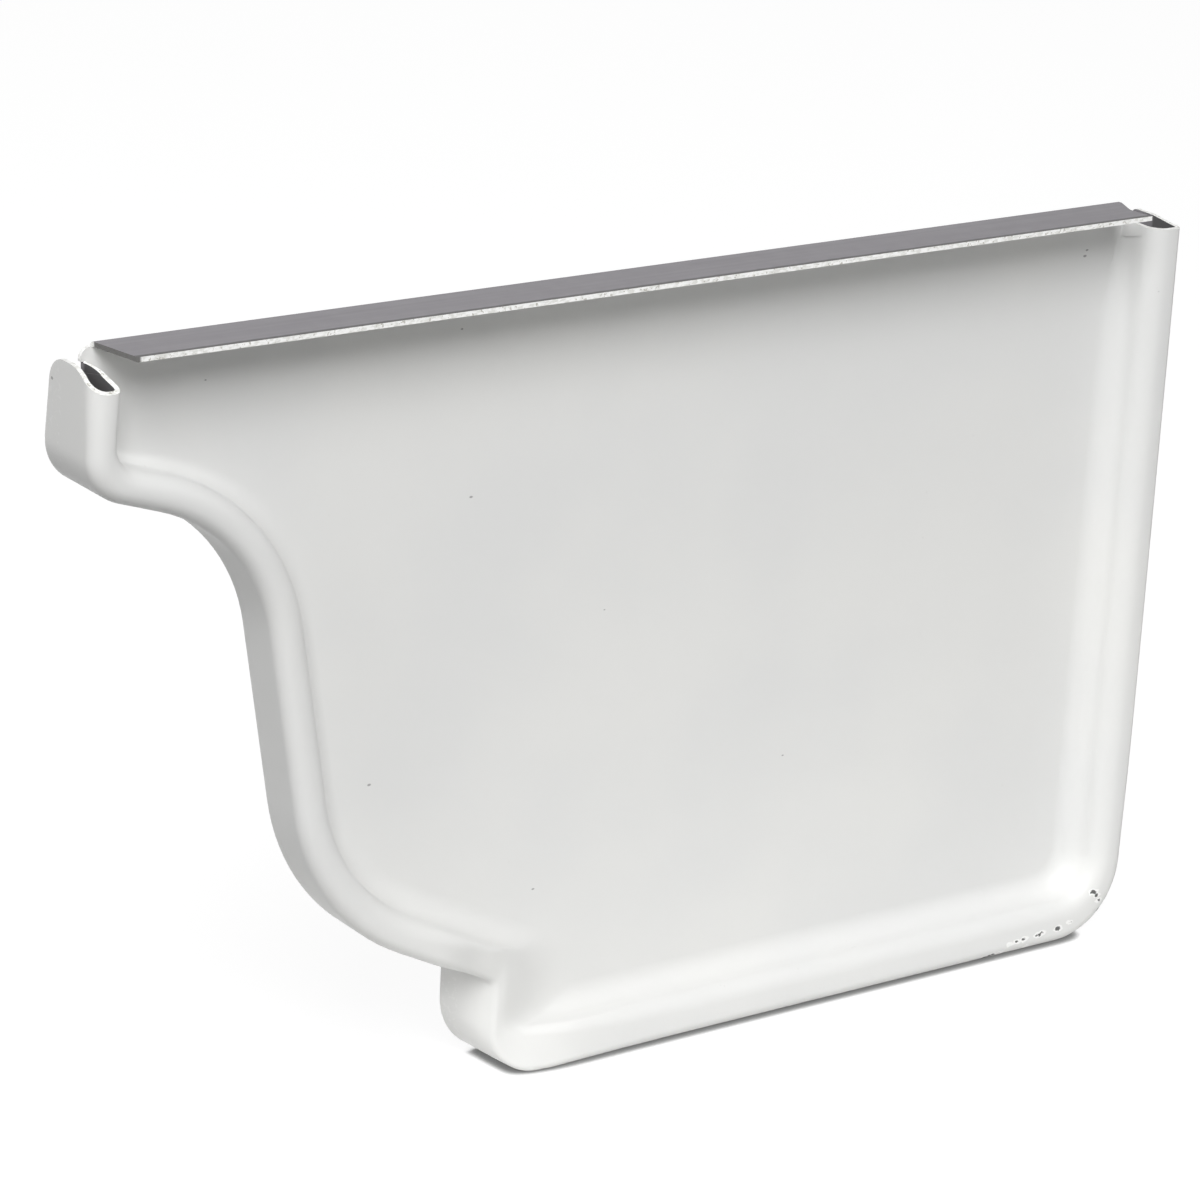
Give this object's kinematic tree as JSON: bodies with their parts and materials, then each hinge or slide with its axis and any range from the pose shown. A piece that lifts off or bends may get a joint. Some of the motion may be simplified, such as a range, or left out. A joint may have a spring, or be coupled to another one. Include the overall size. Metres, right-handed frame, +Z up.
{
  "type": "gutter end cap",
  "caption": "Pressed sheet end cap for an ogee rain gutter: flat sunken field, hollow bead round three sides, top flange bent forward, lip tab at the front.",
  "frame": {"origin": "on the bottom face, at the middle of the width, in the plane of the flat field's weather face", "axes": "+X runs from the front lip to the back of the gutter, +Y points into the gutter, +Z is up"},
  "size_m": [0.1344, 0.0113, 0.085],
  "materials": {
    "white_coat": "smooth white coil coat, low gloss"
  },
  "bodies": {
    "root": {"end_cap": "white_coat"}
  },
  "joints": []
}
